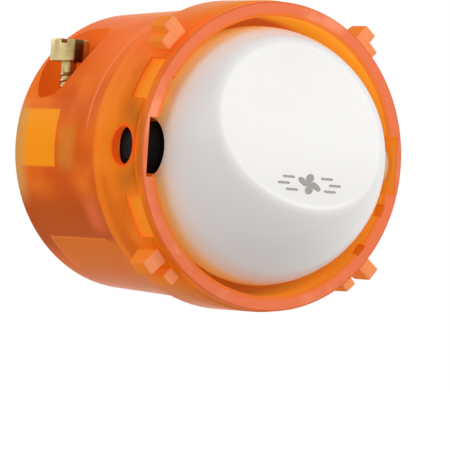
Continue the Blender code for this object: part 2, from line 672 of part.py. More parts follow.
def buildTerminal(brass, name, sideX, sideZ):
    low, high = mirrored((TERMINAL_INNER, TERMINAL_FRONT, TERMINAL_LOW),
                         (TERMINAL_X + TERMINAL_HALF_WIDTH, BASE_FRONT - GAP, TERMINAL_HIGH), sideX, sideZ)
    terminal = makeObject(f"terminal_{name}", boxMesh("terminal", low, high), brass)
    start = (sideX * TERMINAL_X, TERMINAL_FRONT + TERMINAL_HALF_WIDTH / 2, sideZ * WIRE_HOLE_HEIGHT)
    stop = (sideX * TERMINAL_X, BASE_FRONT + OVERRUN, sideZ * WIRE_HOLE_HEIGHT)
    combine(terminal, cutter(f"wire_hole_{name}", rodMesh("wire_hole", start, stop, WIRE_HOLE_RADIUS)))
    start = (sideX * TERMINAL_X, SCREW_DEPTH, sideZ * THREAD_FLOOR)
    stop = (sideX * TERMINAL_X, SCREW_DEPTH, sideZ * (TERMINAL_HIGH + OVERRUN))
    mesh = rodMesh("thread_hole", start, stop, SCREW_SHANK_RADIUS + GAP)
    combine(terminal, cutter(f"thread_hole_{name}", mesh))
    smooth(terminal)
    return terminal


def slotMesh(sideZ):
    """Driver slot across the head, at the angle the screw was left at."""
    half = SCREW_SLOT_WIDTH / 2
    low, high = mirrored((-SCREW_HEAD_RADIUS - OVERRUN, -half, SCREW_HEAD_HIGH - SCREW_SLOT_DEPTH),
                         (SCREW_HEAD_RADIUS + OVERRUN, half, SCREW_HEAD_HIGH + OVERRUN), 1, sideZ)
    mesh = boxMesh("slot", low, high)
    mesh.transform(Matrix.Rotation(SCREW_SLOT_TURN, 4, "Z"))
    return mesh


def buildScrew(brass, name, sideX, sideZ):
    """Cheese-head terminal screw, backed out as supplied."""
    axis = bpy.data.objects.new(f"screw_axis_{name}", None)
    bpy.context.scene.collection.objects.link(axis)
    axis.location = (sideX * TERMINAL_X, SCREW_DEPTH, 0.0)
    start = (0.0, 0.0, sideZ * SCREW_HEAD_LOW)
    head = rodMesh("head", start, (0.0, 0.0, sideZ * SCREW_HEAD_HIGH), SCREW_HEAD_RADIUS)
    screw = makeObject(f"screw_{name}", head, brass, axis)
    edge = screw.modifiers.new("edge", "BEVEL")
    edge.width = SCREW_EDGE
    edge.segments = 2
    edge.limit_method = "ANGLE"
    stop = (0.0, 0.0, sideZ * (SCREW_HEAD_LOW + SCREW_EDGE))
    shank = rodMesh("shank", (0.0, 0.0, sideZ * SCREW_TIP), stop, SCREW_SHANK_RADIUS)
    combine(screw, cutter(f"shank_{name}", shank, axis), "UNION")
    combine(screw, cutter(f"slot_{name}", slotMesh(sideZ), axis))
    smooth(screw)
    return screw


def build():
    clearScene()
    amber = makeMaterial("amber_polycarbonate", (0.86, 0.24, 0.04), 0.25, transmission=0.6)
    white = makeMaterial("white_plastic", (0.90, 0.89, 0.87), 0.30)
    black = makeMaterial("black_plastic", (0.02, 0.02, 0.02), 0.45)
    brass = makeMaterial("brass", (0.72, 0.56, 0.28), 0.30, metallic=1.0)
    silver = makeMaterial("silver_contact", (0.80, 0.80, 0.78), 0.25, metallic=1.0)
    steel = makeMaterial("spring_steel", (0.55, 0.55, 0.56), 0.30, metallic=1.0)
    quarters = [("upper_left", -1, 1), ("upper_right", 1, 1), ("lower_right", 1, -1)]

    buildHousing(amber, quarters)
    buildBase(amber, quarters)

    pivot = pivotEmpty()
    buildDolly(white, pivot)
    buildCarrier(black, pivot)
    buildPlunger(white, pivot)
    buildSpring(steel, pivot)

    buildBlade(brass, silver, bladeEmpty())
    buildFixedContact(brass, silver, "upper", -1, 1)
    buildFixedContact(brass, silver, "lower", 1, -1)
    buildCradle(brass)
    for name, sideX, sideZ in quarters:
        buildTerminal(brass, name, sideX, sideZ)
        buildScrew(brass, name, sideX, sideZ)


build()
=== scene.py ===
import json
import math

import bmesh
import bpy
from mathutils import Matrix, Vector


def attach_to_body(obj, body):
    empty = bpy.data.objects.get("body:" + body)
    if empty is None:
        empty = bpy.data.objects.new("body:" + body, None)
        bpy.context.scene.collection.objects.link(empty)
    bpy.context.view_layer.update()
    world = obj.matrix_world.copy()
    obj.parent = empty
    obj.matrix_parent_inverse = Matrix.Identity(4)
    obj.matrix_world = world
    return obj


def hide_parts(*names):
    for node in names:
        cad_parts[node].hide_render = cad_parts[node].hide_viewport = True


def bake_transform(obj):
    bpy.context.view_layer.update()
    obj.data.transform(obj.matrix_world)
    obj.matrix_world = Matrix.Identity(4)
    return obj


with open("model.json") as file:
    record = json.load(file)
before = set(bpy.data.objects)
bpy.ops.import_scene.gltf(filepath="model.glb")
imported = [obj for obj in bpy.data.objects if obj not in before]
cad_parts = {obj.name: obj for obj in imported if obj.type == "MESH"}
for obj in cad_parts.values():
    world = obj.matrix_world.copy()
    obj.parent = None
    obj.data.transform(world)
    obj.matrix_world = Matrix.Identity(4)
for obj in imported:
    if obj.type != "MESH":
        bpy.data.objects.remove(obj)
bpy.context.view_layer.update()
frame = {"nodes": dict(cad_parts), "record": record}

mm = 0.001
tiny = 0.0005 * mm
near = 0.01 * mm
nodes = frame["nodes"]
bodyOf = {node: body for body, found in frame["record"]["behaviour"]["bodies"].items() for node in found}


# small helpers for working by hand in edit mode

def pickOnly(item):
    bpy.ops.object.select_all(action="DESELECT")
    item.select_set(True)
    bpy.context.view_layer.objects.active = item


def named(name):
    item = bpy.context.object
    item.name = name
    item.data.name = name
    return item


def startEditing(item, mode="FACE"):
    pickOnly(item)
    bpy.ops.object.mode_set(mode="EDIT")
    bpy.ops.mesh.select_mode(type=mode)
    bpy.ops.mesh.select_all(action="DESELECT")


def stopEditing():
    bpy.ops.object.mode_set(mode="OBJECT")


def pickEdges(item, test):
    bm = bmesh.from_edit_mesh(item.data)
    for edge in bm.edges:
        edge.select_set(test(edge))
    bmesh.update_edit_mesh(item.data)


def settle(item):
    pickOnly(item)
    bpy.ops.object.transform_apply(location=True, rotation=True, scale=True)


def addModifier(item, kind, **settings):
    modifier = item.modifiers.new(kind.lower(), kind)
    for key, value in settings.items():
        setattr(modifier, key, value)
    pickOnly(item)
    bpy.ops.object.modifier_apply(modifier=modifier.name)


def roundEdges(item, width, steps=3, degrees=30):
    # rounds the edges that turn by more than these degrees
    addModifier(item, "BEVEL", width=width, segments=steps, limit_method="ANGLE",
                angle_limit=math.radians(degrees))


def sweep(item, axis, rise, turns, steps):
    # winds a profile up along an axis, by one rise a turn
    addModifier(item, "SCREW", axis=axis, angle=math.tau, screw_offset=rise, iterations=turns, steps=steps,
                render_steps=steps, use_merge_vertices=False)
    closeEnds(item)


def join(item, other, operation):
    addModifier(item, "BOOLEAN", operation=operation, object=other, solver="EXACT")
    bpy.data.objects.remove(other, do_unlink=True)


def cut(item, other):
    join(item, other, "DIFFERENCE")


def weld(item, other):
    join(item, other, "UNION")


def faceOut(item):
    startEditing(item)
    bpy.ops.mesh.select_all(action="SELECT")
    bpy.ops.mesh.remove_doubles(threshold=tiny)
    bpy.ops.mesh.normals_make_consistent(inside=False)
    stopEditing()


def closeEnds(item):
    # fills the open ends of a swept profile and turns its faces outwards
    startEditing(item, "EDGE")
    bpy.ops.mesh.select_all(action="SELECT")
    bpy.ops.mesh.remove_doubles(threshold=tiny)
    bpy.ops.mesh.select_all(action="DESELECT")
    pickEdges(item, lambda edge: edge.is_boundary)
    bpy.ops.mesh.fill()
    bpy.ops.mesh.select_all(action="SELECT")
    bpy.ops.mesh.normals_make_consistent(inside=False)
    stopEditing()


def smoothBy(item, degrees):
    pickOnly(item)
    bpy.ops.object.shade_smooth_by_angle(angle=math.radians(degrees))


def addBlock(name, low, high):
    size = [b - a for a, b in zip(low, high)]
    middle = [(a + b) / 2 for a, b in zip(low, high)]
    bpy.ops.mesh.primitive_cube_add(size=1, location=middle)
    block = named(name)
    block.scale = size
    settle(block)
    return block


def addRod(name, start, end, radius, sides=48):
    line = Vector(end) - Vector(start)
    bpy.ops.mesh.primitive_cylinder_add(vertices=sides, radius=radius, depth=line.length,
                                        location=(Vector(start) + Vector(end)) / 2)
    rod = named(name)
    rod.rotation_mode = "QUATERNION"
    rod.rotation_quaternion = Vector((0, 0, 1)).rotation_difference(line)
    settle(rod)
    return rod


def turnOnAxis(name, rows, sides, closed=True):
    # a circle drawn out along Y from row to row of (depth, radius), and back to the first row if closed
    depth, radius = rows[0]
    bpy.ops.mesh.primitive_circle_add(vertices=sides, radius=radius, location=(0, depth, 0),
                                      rotation=(math.radians(90), 0, 0))
    item = named(name)
    settle(item)
    startEditing(item, "EDGE")
    bpy.ops.mesh.select_all(action="SELECT")
    for nextDepth, nextRadius in rows[1:] + (rows[:1] if closed else []):
        bpy.ops.mesh.extrude_edges_move(TRANSFORM_OT_translate={"value": (0, nextDepth - depth, 0)})
        share = nextRadius / radius
        bpy.ops.transform.resize(value=(share, 1, share), center_override=(0, nextDepth, 0))
        depth, radius = nextDepth, nextRadius
    stopEditing()
    faceOut(item)
    return item


def turnAbout(item, degrees, axis, centre=(0, 0, 0)):
    spot = Matrix.Translation(centre)
    turn = spot @ Matrix.Rotation(math.radians(degrees), 4, axis) @ spot.inverted()
    item.matrix_world = turn @ item.matrix_world
    settle(item)


def flipped(low, high, sideX, sideZ):
    xs = sorted((low[0] * sideX, high[0] * sideX))
    zs = sorted((low[2] * sideZ, high[2] * sideZ))
    return (xs[0], low[1], zs[0]), (xs[1], high[1], zs[1])


def attach(item, finish, *replaced):
    item.data.materials.clear()
    item.data.materials.append(finish.material)
    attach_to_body(item, bodyOf[replaced[0]])
    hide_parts(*replaced)


# shader maths

class Wire:
    def __init__(self, finish, socket):
        self.finish = finish
        self.socket = socket

    def maths(self, operation, *values):
        return self.finish.add("ShaderNodeMath", {"operation": operation}, dict(enumerate(values)))

    def __add__(self, other):
        return self.maths("ADD", self, other)

    def __radd__(self, other):
        return self.maths("ADD", other, self)

    def __sub__(self, other):
        return self.maths("SUBTRACT", self, other)

    def __rsub__(self, other):
        return self.maths("SUBTRACT", other, self)

    def __mul__(self, other):
        return self.maths("MULTIPLY", self, other)

    def __rmul__(self, other):
        return self.maths("MULTIPLY", other, self)

    def __truediv__(self, other):
        return self.maths("DIVIDE", self, other)

    def __rtruediv__(self, other):
        return self.maths("DIVIDE", other, self)

    def __pow__(self, other):
        return self.maths("POWER", self, other)

    def __abs__(self):
        return self.maths("ABSOLUTE", self)


class Finish:
    def __init__(self, name, slot, **constants):
        self.material = bpy.data.materials.new(name)
        self.material.use_nodes = True
        self.tree = self.material.node_tree
        self.shader = self.tree.nodes["Principled BSDF"]
        self.slot = slot
        self.feed(**constants)

    def add(self, kind, settings=None, inputs=None, output=0):
        node = self.tree.nodes.new(kind)
        for key, value in (settings or {}).items():
            setattr(node, key, value)
        for key, value in (inputs or {}).items():
            self.plug(node.inputs[key], value)
        return Wire(self, node.outputs[output])

    def plug(self, socket, value):
        if isinstance(value, Wire):
            self.tree.links.new(value.socket, socket)
        else:
            socket.default_value = value

    def feed(self, **values):
        for key, value in values.items():
            self.plug(self.shader.inputs[key.replace("_", " ")], value)

    def place(self):
        return self.add("ShaderNodeTexCoord", output="Object")

    def spots(self):
        # how far a point is across, in depth and in height, in millimetres
        split = self.add("ShaderNodeSeparateXYZ", inputs={0: self.place()}).socket.node
        axes = [Wire(self, socket) / mm for socket in split.outputs]
        return dict(zip(("across", "depth", "height"), axes))

    def noise(self, scale, detail, roughness=0.5):
        return self.add("ShaderNodeTexNoise", inputs={
            "Vector": self.place(), "Scale": scale, "Detail": detail, "Roughness": roughness})

    def fade(self, value, start, end):
        # 0 before start, 1 after end, smooth between
        return self.add("ShaderNodeMapRange", {"interpolation_type": "SMOOTHSTEP"},
                        {"Value": value, "From Min": start, "From Max": end})

    def band(self, value, start, end, soft):
        # 1 between start and end, 0 outside, with soft borders
        return self.fade(value, start - soft, start + soft) * self.fade(value, end + soft, end - soft)

    def zone(self, spots, *limits):
        # 1 where all the limits hold: one with two numbers is a fade, one with three a band
        masks = [(self.fade if len(borders) == 2 else self.band)(spots[spot], *borders)
                 for spot, *borders in limits]
        mask = masks[0]
        for other in masks[1:]:
            mask = mask * other
        return mask

    def mix(self, share, first, second, blend="MIX"):
        return self.add("ShaderNodeMix", {"data_type": "RGBA", "blend_type": blend},
                        {0: share, 6: first, 7: second}, output=2)

    def patch(self, tone, spots, colour, share, *limits):
        return self.mix(self.zone(spots, *limits) * share, tone, colour)

    def bump(self, height, strength, distance):
        return self.add("ShaderNodeBump", inputs={
            "Strength": strength, "Distance": distance, "Height": height})


def rgb(red, green, blue):
    # screen colour, 0 to 255, as the shader's linear one
    return tuple((level / 255 / 12.92 if level < 10 else ((level / 255 + 0.055) / 1.055) ** 2.4)
                 for level in (red, green, blue)) + (1.0,)


# camera, from the fitted view of the photograph

view = {
    "azimuth": -32.6,
    "elevation": -1.16,
    "roll": 3.83,
    "aim": (-4.0 * mm, 2.6 * mm, -0.2 * mm),
    "distance": 457.6 * mm,
    "lens": 473.15,
    "sensor": 36,
    "shift": (0.0289, -0.1556),
    "nearest": 10 * mm,
}


def addCamera():
    yaw = math.radians(view["azimuth"])
    pitch = math.radians(90 - view["elevation"])
    roll = math.radians(view["roll"])
    turn = Matrix.Rotation(yaw, 4, "Z") @ Matrix.Rotation(pitch, 4, "X") @ Matrix.Rotation(roll, 4, "Z")
    back = turn @ Vector((0, 0, 1))
    bpy.ops.object.camera_add()
    camera = bpy.context.object
    camera.matrix_world = Matrix.Translation(Vector(view["aim"]) + back * view["distance"]) @ turn
    camera.data.lens = view["lens"]
    camera.data.sensor_width = view["sensor"]
    camera.data.shift_x, camera.data.shift_y = view["shift"]
    camera.data.clip_start = view["nearest"]
    bpy.context.scene.camera = camera


# studio: a white surround, a pale floor and soft lights, each with its place, size and power

studio = {
    "floorHeight": -27 * mm,
    "floorSize": 0.9,
    "floorColour": rgb(205, 204, 202),
    "floorRoughness": 0.9,
    "floorLift": 0.75,
    "fill": 0.41,
    "white": (1, 1, 1, 1),
    "black": (0, 0, 0, 1),
    "seenBy": ("Is Camera Ray", "Is Glossy Ray", "Is Transmission Ray"),
    "softboxes": {
        "key": ((0.30, -0.42, 0.26), 0.34, 1.64),
        "side": ((-0.45, -0.10, 0.20), 0.30, 0.62),
        "back": ((-0.15, 0.50, 0.25), 0.40, 0.8),
    },
}


def addSoftbox(name, place, size, power):
    bpy.ops.object.light_add(type="AREA", location=place)
    lamp = bpy.context.object
    lamp.name = name
    lamp.data.size = size
    lamp.data.energy = power
    lamp.rotation_euler = (-Vector(place)).to_track_quat("-Z", "Y").to_euler()


def addFloor():
    # white where it is seen, and as a light no more than its own colour gives back
    bpy.ops.mesh.primitive_plane_add(size=studio["floorSize"], location=(0, 0, studio["floorHeight"]))
    floor = named("floor")
    paper = Finish("paper", "floor", Roughness=studio["floorRoughness"], Base_Color=studio["floorColour"],
                   Emission_Strength=studio["floorLift"])
    path = paper.add("ShaderNodeLightPath").socket.node
    camera, glossy, through = (Wire(paper, path.outputs[name]) for name in studio["seenBy"])
    paper.feed(Emission_Color=paper.mix(camera + glossy + through, studio["black"], studio["white"]))
    floor.data.materials.append(paper.material)


def addSurround():
    # white where it is seen, and dimmer as a light
    world = bpy.data.worlds.new("surround")
    bpy.context.scene.world = world
    world.use_nodes = True
    tree = world.node_tree
    path = tree.nodes.new("ShaderNodeLightPath")
    seen, *others = (path.outputs[name] for name in studio["seenBy"])
    for ray in others:
        either = tree.nodes.new("ShaderNodeMath")
        either.operation = "MAXIMUM"
        tree.links.new(seen, either.inputs[0])
        tree.links.new(ray, either.inputs[1])
        seen = either.outputs[0]
    level = tree.nodes.new("ShaderNodeMapRange")
    level.inputs["To Min"].default_value = studio["fill"]
    level.inputs["To Max"].default_value = 1.0
    tree.links.new(seen, level.inputs["Value"])
    background = tree.nodes["Background"]
    background.inputs["Color"].default_value = studio["white"]
    tree.links.new(level.outputs["Result"], background.inputs["Strength"])


def addStudio():
    for name, (place, size, power) in studio["softboxes"].items():
        addSoftbox(name, place, size, power)
    addFloor()
    addSurround()
    bpy.context.scene.view_settings.view_transform = "Standard"


# finishes: a patch is a colour, its strength and its limits in millimetres, laid over the ones before it

leftSide = ("across", -5.0, -7.0)
shoulder = ("depth", 7.0, 8.4)
flecks = ("fleck", 0.50, 0.72)
amber = {
    "roughness": 0.24,
    "bending": 1.08,
    "through": 0.08,
    "gloss": 0.04,
    # painted glow: the plastic gives off light though it is no lamp
    "glow": 0.28,
    "flowNoise": (130, 2.0),
    "flow": ("flow", 0.35, 0.65),
    "fleckNoise": (240, 3.0),
    "grainNoise": (900, 1.0),
    "grain": (0.05, 0.05 * mm),
    "collar": (rgb(206, 98, 20), rgb(224, 120, 24)),
    "body": (rgb(200, 82, 18), rgb(222, 106, 22)),
    "patches": {
        # painted highlight along the collar's rear edge
        "stripe": (rgb(232, 120, 20), 0.8, ("depth", 5.9, 7.3, 0.35)),
        # painted light: the upper part lighter and pinker
        "top": (rgb(232, 108, 40), 0.85, ("height", 3.5, 9.5)),
        "fleck": (rgb(240, 132, 50), 0.35, flecks),
        "shade": (rgb(178, 74, 12), 0.9, shoulder, ("height", -2.8, -5.2), ("height", -9.2, -7.6)),
        "ledge": (rgb(212, 106, 18), 1.0, ("depth", 7.9, 18.4, 0.7), ("height", -7.15, -7.5)),
        "ledgeFront": (rgb(238, 126, 36), 0.7, ("height", -7.35, -7.2, 0.08), ("depth", 9.5, 18.5, 0.3)),
        "ledgeRear": (rgb(238, 126, 36), 0.7, ("depth", 18.3, 18.6, 0.15), ("height", -9.6, -7.2, 0.2)),
        # painted sheen along the bottom edge (under) and along the top edge (crown)
        "under": (rgb(196, 112, 66), 0.6, ("height", -9.3, -11.6)),
        "crown": (rgb(216, 136, 60), 0.6, ("height", 9.8, 11.6)),
        "window": (rgb(236, 144, 20), 0.95, ("depth", 14.2, 20.2, 0.15), ("height", -1.8, 2.72, 0.12),
                   leftSide),
        "rearEdge": (rgb(200, 146, 78), 0.9, ("depth", 18.4, 20.3), ("height", -4.2, 3.0, 1.2),
                     ("reach", 10.6, 10.9), leftSide),
        "olive": (rgb(202, 128, 44), 0.6, ("depth", 11.2, 13.6, 0.7), ("height", -1.9, 1.4, 0.7), leftSide),
        "blush": (rgb(226, 108, 62), 0.6, ("depth", 8.4, 10.6, 0.8), ("height", -6.6, -4.2, 0.8), leftSide),
        # painted highlight: a thin bright arc on the left side
        "line": (rgb(232, 134, 84), 0.7, ("depth", 9.25, 9.5, 0.12), ("height", 0.0, 2.5), leftSide),
        # painted shade in a ring around each pivot hole, where the black cheek behind shows through
        "holeShade": (rgb(160, 92, 34), 0.6, ("away", 2.1, 3.3, 0.9), ("depth", 4.4, 2.2)),
        # painted light on the wall inside each pivot hole
        "hole": (rgb(236, 92, 26), 1.0, ("away", 1.75, 1.65), ("side", 8.0, 9.0)),
        "panel": (rgb(242, 146, 42), 0.7, ("reach", 11.6, 11.95, 0.05), ("depth", 1.2, 2.95, 0.05)),
        "lug": (rgb(226, 126, 44), 1.0, ("reach", 12.15, 12.4)),
        # painted sheen on the front faces of the lugs
        "lugFront": (rgb(230, 142, 92), 1.0, ("depth", 1.15, 1.05), ("reach", 12.12, 12.3)),
        "seat": (rgb(236, 148, 44), 1.0, ("reach", 11.9, 11.7), ("side", 10.6, 10.9), ("depth", 5.6, 5.3),
                 ("away", 1.6, 1.75), ("height", -2.5, 2.5, 0.1)),
    },
    # painted light on the ring's inner wall, the throat, brighter and yellower towards the left
    "throat": (rgb(236, 148, 44), rgb(248, 178, 72)),
    "throatTurn": ("across", 2.0, -6.0),
    "throatLimits": (("reach", 11.0, 10.8), ("depth", 6.0, 3.0)),
    # painted sheen on the ring's front face, with plain amber at its inner and outer edges
    "face": (rgb(222, 116, 78), rgb(236, 144, 106)),
    "faceLimit": ("depth", 0.20, 0.06),
    "facePatches": {
        "inside": (rgb(226, 112, 34), 0.8, ("reach", 11.25, 11.0)),
        "outside": (rgb(196, 84, 30), 0.6, ("reach", 11.82, 11.95)),
    },
    # painted glow, stronger at the top of the throat
    "crestLimits": (("height", 2.0, 9.0), ("across", -6.0, 3.0)),
    "glowTints": ((1.1, 1.2, 1.2, 1), (1.5, 2.6, 2.2, 1)),
}


def amberPlastic():
    # clear plastic whose inside walls, pivots and terminal room show through as soft patches; other patches
    # are painted highlights, sheen, shade and light, and it glows with painted light
    finish = Finish("amberPlastic", "amber_plastic", Roughness=amber["roughness"], IOR=amber["bending"],
                    Transmission_Weight=amber["through"], Specular_IOR_Level=amber["gloss"],
                    Emission_Strength=amber["glow"])
    spots = finish.spots()
    across, depth, height = spots.values()
    behind = depth - pivot["holeCentre"] / mm
    spots["side"] = abs(across)
    spots["reach"] = (across * across + height * height) ** 0.5
    spots["away"] = (behind * behind + height * height) ** 0.5
    spots["flow"] = finish.noise(*amber["flowNoise"])
    spots["fleck"] = finish.noise(*amber["fleckNoise"])
    flow = finish.zone(spots, amber["flow"])
    tone = finish.mix(finish.zone(spots, shoulder), finish.mix(flow, *amber["collar"]),
                      finish.mix(flow, *amber["body"]))
    for patch in amber["patches"].values():
        tone = finish.patch(tone, spots, *patch)
    # painted light on the throat
    throat = finish.zone(spots, *amber["throatLimits"])
    tone = finish.mix(throat, tone, finish.mix(finish.zone(spots, amber["throatTurn"]), *amber["throat"]))
    # painted sheen on the ring's front face
    face = finish.mix(finish.zone(spots, flecks), *amber["face"])
    for patch in amber["facePatches"].values():
        face = finish.patch(face, spots, *patch)
    tone = finish.mix(finish.zone(spots, amber["faceLimit"]), tone, face)
    # painted glow: the whole can glows faintly, the top of the throat more
    glow = finish.mix(throat * finish.zone(spots, *amber["crestLimits"]), *amber["glowTints"])
    finish.feed(Base_Color=tone, Emission_Color=finish.mix(1.0, tone, glow, "MULTIPLY"))
    finish.feed(Normal=finish.bump(finish.noise(*amber["grainNoise"]), *amber["grain"]))
    return finish


white = {
    "bending": 1.46,
    "bleed": 0.12,
    "bleedColours": (1.0, 0.9, 0.8),
    "bleedReach": 0.6 * mm,
    "cloudNoise": (160, 2.0),
    "clean": (rgb(240, 238, 236), rgb(246, 245, 244)),
    "fringe": (rgb(246, 240, 206), 0.4, ("depth", -0.6, 1.4)),
    "grainNoise": (2600, 3.0),
    "grain": (0.05, 0.02 * mm),
    "roughness": (0.30, 0.08),
}


def whitePlastic():
    # a warm fringe where the light of the can shines through the rim of the cap
    finish = Finish("whitePlastic", "white_plastic", IOR=white["bending"], Subsurface_Weight=white["bleed"],
                    Subsurface_Radius=white["bleedColours"], Subsurface_Scale=white["bleedReach"])
    clean = finish.mix(finish.noise(*white["cloudNoise"]), *white["clean"])
    finish.feed(Base_Color=finish.patch(clean, finish.spots(), *white["fringe"]))
    return roughened(finish, white)


def roughened(finish, values):
    # the same fine grain in the roughness and in the relief
    grain = finish.noise(*values["grainNoise"])
    least, more = values["roughness"]
    finish.feed(Roughness=grain * more + least, Normal=finish.bump(grain, *values["grain"]))
    return finish


black = {
    "bending": 1.15,
    "cloudNoise": (300, 2.0),
    "dark": (rgb(4, 4, 4), rgb(12, 10, 9)),
    # pale painted highlight on the end of the right cheek
    "cheek": (rgb(240, 206, 158), 1.0, ("across", 9.4, 9.8)),
    "grainNoise": (1800, 3.0),
    "grain": (0.10, 0.02 * mm),
    "roughness": (0.5, 0.15),
}


def blackPlastic():
    # the right cheek carries a pale painted highlight
    finish = Finish("blackPlastic", "black_plastic", IOR=black["bending"])
    dark = finish.mix(finish.noise(*black["cloudNoise"]), *black["dark"])
    finish.feed(Base_Color=finish.patch(dark, finish.spots(), *black["cheek"]))
    return roughened(finish, black)


brass = {
    "strips": (rgb(206, 174, 104), rgb(150, 112, 52), 0.28),
    "screws": (rgb(190, 172, 122), rgb(142, 118, 68), 0.26),
    "tarnishNoise": (420, 4.0, 0.6),
    "tarnish": (0.42, 0.70),
    "drawnOut": (1.0, 1.0, 14.0),
    "lines": {"Scale": 700.0, "Detail": 3.0},
    "lineRoughness": 0.16,
    "lineRelief": (0.12, 0.01 * mm),
    "headShade": (rgb(76, 57, 25), 1.0, ("inward", 0.40, 1.1, 0.10), ("high", 6.3, 6.6)),
    "headShadeLean": (0.84, 0.54),
}


def turnedBrass(name, slot, light, dark, roughness):
    finish = Finish(name, slot, Metallic=1.0)
    stretch = finish.add("ShaderNodeMapping", inputs={0: finish.place(), "Scale": brass["drawnOut"]})
    lines = finish.add("ShaderNodeTexNoise", inputs={"Vector": stretch, **brass["lines"]})
    tarnish = finish.fade(finish.noise(*brass["tarnishNoise"]), *brass["tarnish"])
    tone = finish.mix(tarnish, light, dark)
    if slot == "screw_brass":
        tone = finish.patch(tone, headSpots(finish), *brass["headShade"])
    finish.feed(Base_Color=tone, Roughness=lines * brass["lineRoughness"] + roughness)
    finish.feed(Normal=finish.bump(lines, *brass["lineRelief"]))
    return finish


def headSpots(finish):
    # how far a point of a screw lies on the inner side of its axis, and how high it is
    spots = finish.spots()
    lean, along = brass["headShadeLean"]
    nearer = pocket["x"] / mm - abs(spots["across"])
    behind = spots["depth"] - pocket["depth"] / mm
    return {"inward": nearer * lean - behind * along, "high": abs(spots["height"])}


metal = {
    "silver": (rgb(222, 222, 218), rgb(160, 158, 150), 0.25),
    "steel": (rgb(190, 190, 192), rgb(120, 120, 124), 0.28),
    "spots": (900, 4.0, 0.6),
    "spotRoughness": 0.2,
    "spotRelief": (0.08, 0.01 * mm),
}


def dullMetal(name, slot, light, dark, roughness):
    finish = Finish(name, slot, Metallic=1.0)
    spots = finish.noise(*metal["spots"])
    finish.feed(Base_Color=finish.mix(spots, light, dark))
    finish.feed(Roughness=spots * metal["spotRoughness"] + roughness)
    finish.feed(Normal=finish.bump(spots, *metal["spotRelief"]))
    return finish


ink = {
    "grainNoise": (3000, 3.0),
    "tones": (rgb(172, 167, 160), rgb(150, 146, 140)),
    "roughness": (0.5, 0.1),
}


def greyInk():
    finish = Finish("greyInk", "white_plastic")
    grain = finish.noise(*ink["grainNoise"])
    least, more = ink["roughness"]
    finish.feed(Base_Color=finish.mix(grain, *ink["tones"]), Roughness=grain * more + least)
    return finish


# moulded can

can = {
    "rimRadius": 12.0 * mm,
    "rimDepth": 0.9 * mm,
    "grooveDepth": 0.3 * mm,
    "grooveWidth": 0.3 * mm,
    "collarRadius": 12.1 * mm,
    "collarEnd": 6.6 * mm,
    "stepEnd": 8.2 * mm,
    "bodyRadius": 11.5 * mm,
    "rearRadius": 11.0 * mm,
    "length": 20.7 * mm,
    "boreRadius": 10.85 * mm,
    "boreDepth": 7.2 * mm,
    "wall": 0.9 * mm,
    "edge": 0.10 * mm,
    "sides": 192,
    "over": 2.0 * mm,
    "smooth": 32,
}


def canRows():
    wall = can["wall"]
    rim = can["rimRadius"]
    groove = rim - can["grooveDepth"]
    behind = can["rimDepth"] + can["grooveWidth"]
    return [
        (0.0, rim), (can["rimDepth"], rim), (can["rimDepth"], groove), (behind, groove),
        (behind, can["collarRadius"]), (can["collarEnd"], can["collarRadius"]),
        (can["stepEnd"], can["bodyRadius"]), (can["length"], can["rearRadius"]),
        (can["length"], can["rearRadius"] - wall), (can["boreDepth"] + wall, can["bodyRadius"] - wall),
        (can["boreDepth"], can["boreRadius"]), (0.0, can["boreRadius"]),
    ]


# snap lugs: each kind's height, width and angles, from +X towards +Z

lug = {
    "front": 1.0 * mm,
    "depth": 2.1 * mm,
    "slope": 0.9 * mm,
    "root": 11.5 * mm,
    "edge": 0.12 * mm,
    "tall": (1.7 * mm, 1.2 * mm, (49.3, 134.7, -137.4, -38.6)),
    "short": (1.0 * mm, 1.05 * mm, (44.4, 139.2, -128.9, -48.2)),
}


def addProng(height, width, angle):
    # block on the right (+X) whose back is drawn forward at the top, then turned to its place
    front, root = lug["front"], lug["root"]
    reach = can["collarRadius"] + height
    deep = lug["depth"] + lug["slope"] * (reach - root) / height
    prong = addBlock("prong", (root, front, -width / 2), (reach, front + deep, width / 2))
    startEditing(prong, "EDGE")
    pickEdges(prong, lambda edge: all(vert.co.x > reach - near and vert.co.y > front + near
                                      for vert in edge.verts))
    bpy.ops.transform.translate(value=(0, lug["depth"] - deep, 0))
    stopEditing()
    roundEdges(prong, lug["edge"])
    turnAbout(prong, -angle, "Y")
    return prong


panel = {"start": 1.05 * mm, "end": 2.9 * mm, "sink": 0.35 * mm, "near": 18.0, "far": 35.0, "steps": 10}


def addRingPiece(name, inner, outer, fromAngle, toAngle):
    # a piece of a ring, drawn out from a strip and spun about Y; angles run from +X towards +Z
    start, end = panel["start"], panel["end"]
    bpy.ops.mesh.primitive_plane_add(size=1, location=((inner + outer) / 2, (start + end) / 2, 0))
    item = named(name)
    item.scale = (outer - inner, end - start, 1)
    settle(item)
    turnAbout(item, -fromAngle, "Y")
    startEditing(item)
    bpy.ops.mesh.select_all(action="SELECT")
    bpy.ops.mesh.spin(steps=panel["steps"], angle=math.radians(toAngle - fromAngle), center=(0, 0, 0),
                      axis=(0, 1, 0))
    stopEditing()
    faceOut(item)
    return item


def sinkPanels(shell):
    inner, outer = can["collarRadius"] - panel["sink"], can["collarRadius"] + can["over"]
    for half in (0, 180):
        for fromAngle, toAngle in ((panel["near"], panel["far"]), (-panel["far"], -panel["near"])):
            cut(shell, addRingPiece("panel", inner, outer, half + fromAngle, half + toAngle))


notch = {"size": 0.32 * mm, "length": 1.05 * mm, "depth": 0.8 * mm, "angles": (153.0, -38.0, -19.0)}


def cutNotches(shell):
    inner, outer = can["boreRadius"] - can["over"], can["boreRadius"] + notch["size"]
    half = notch["length"] / 2
    for angle in notch["angles"]:
        block = addBlock("notch", (inner, -can["over"], -half), (outer, notch["depth"], half))
        turnAbout(block, -angle, "Y")
        cut(shell, block)


